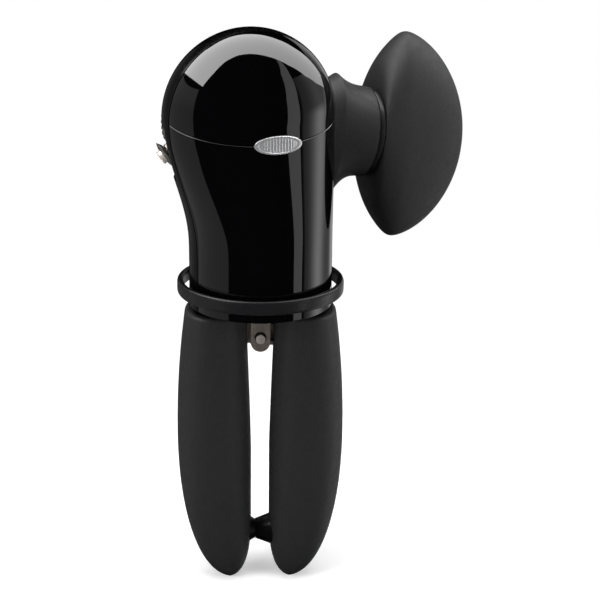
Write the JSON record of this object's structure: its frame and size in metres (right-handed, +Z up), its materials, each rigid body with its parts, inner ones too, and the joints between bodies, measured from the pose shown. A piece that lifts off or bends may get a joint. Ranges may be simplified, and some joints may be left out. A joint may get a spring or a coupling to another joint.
{
  "type": "manual can opener",
  "caption": "Manual can opener with a domed head, a winged turning knob, two squeeze handles, a sliding lock collar and a carried cutting wheel.",
  "frame": {"origin": "centre of the narrow flat on the back of the waist", "axes": "+X to the knob side, +Y out of the flat on the back, +Z up the head; the handles hang along -Z"},
  "size_m": [0.108, 0.0664, 0.2004],
  "materials": {
    "satin_shell": "satin moulded plastic",
    "gloss_shell": "high gloss",
    "badge_metal": "bright, lightly brushed",
    "soft_rubber": "fine matte grain",
    "bumper_rubber": "satin",
    "core_plastic": "matte",
    "bush_bronze": "sintered",
    "bracket_steel": "stamped",
    "carrier_steel": "tumbled",
    "wheel_steel": "ground",
    "pin_steel": "turned",
    "fastener_steel": "plated",
    "spring_steel": "drawn wire"
  },
  "bodies": {
    "head": {"rear_housing": "satin_shell", "front_cap": "gloss_shell", "front_shield": "gloss_shell", "badge": "badge_metal", "neck_sleeve": "soft_rubber", "neck_bush": "bush_bronze", "frame_plate": "bracket_steel", "frame_bush": "bush_bronze", "plate_screws": "fastener_steel", "housing_screws": "fastener_steel", "hinge_bracket": "bracket_steel", "bracket_screws": "fastener_steel", "handle_pins": "pin_steel", "opening_spring": "spring_steel"},
    "knob": {"knob_grip": "soft_rubber", "knob_core": "core_plastic", "knob_ring": "satin_shell", "knob_washer": "pin_steel", "drive_shaft": "pin_steel", "feed_wheel": "wheel_steel", "shaft_collar": "fastener_steel"},
    "carrier": {"cutter_carrier": "carrier_steel", "cutter_axle": "pin_steel", "toggle_pin": "pin_steel"},
    "cutter": {"cutting_wheel": "wheel_steel"},
    "left_handle": {"left_grip": "soft_rubber", "left_core": "core_plastic", "left_arm": "carrier_steel", "left_bumper": "bumper_rubber"},
    "right_handle": {"right_grip": "soft_rubber", "right_core": "core_plastic", "right_arm": "carrier_steel", "right_bumper": "bumper_rubber"},
    "collar": {"lock_ring": "satin_shell"}
  },
  "joints": [
    {"name": "knob_spin", "type": "hinge", "parent": "head", "child": "knob", "pos_m": [0.03612, -0.00793, 0.0325], "axis": [0.9465, 0.2894, -0.1426], "continuous": true},
    {"name": "left_handle_swing", "type": "hinge", "parent": "head", "child": "left_handle", "pos_m": [-0.018, -0.0242, -0.019], "axis": [0, 1, 0], "range_deg": [0, 9]},
    {"name": "right_handle_swing", "type": "hinge", "parent": "head", "child": "right_handle", "pos_m": [0.018, -0.0242, -0.019], "axis": [0, -1, 0], "range_deg": [0, 9]},
    {"name": "carrier_slide", "type": "slide", "parent": "head", "child": "carrier", "axis": [0, 0, -1], "range_m": [0, 0.00306], "deforming": ["opening_spring"]},
    {"name": "cutter_spin", "type": "hinge", "parent": "carrier", "child": "cutter", "pos_m": [-0.03252, -0.02891, 0.02976], "axis": [0.802, 0.2452, 0.5446], "continuous": true},
    {"name": "collar_slide", "type": "slide", "parent": "head", "child": "collar", "axis": [0, 0, 1], "range_m": [0, 0.005]}
  ],
  "couplings": [
    {"joint": "right_handle_swing", "follows": "left_handle_swing", "ratio": 1},
    {"joint": "carrier_slide", "follows": "left_handle_swing", "m_per_rad": 0.01945}
  ]
}
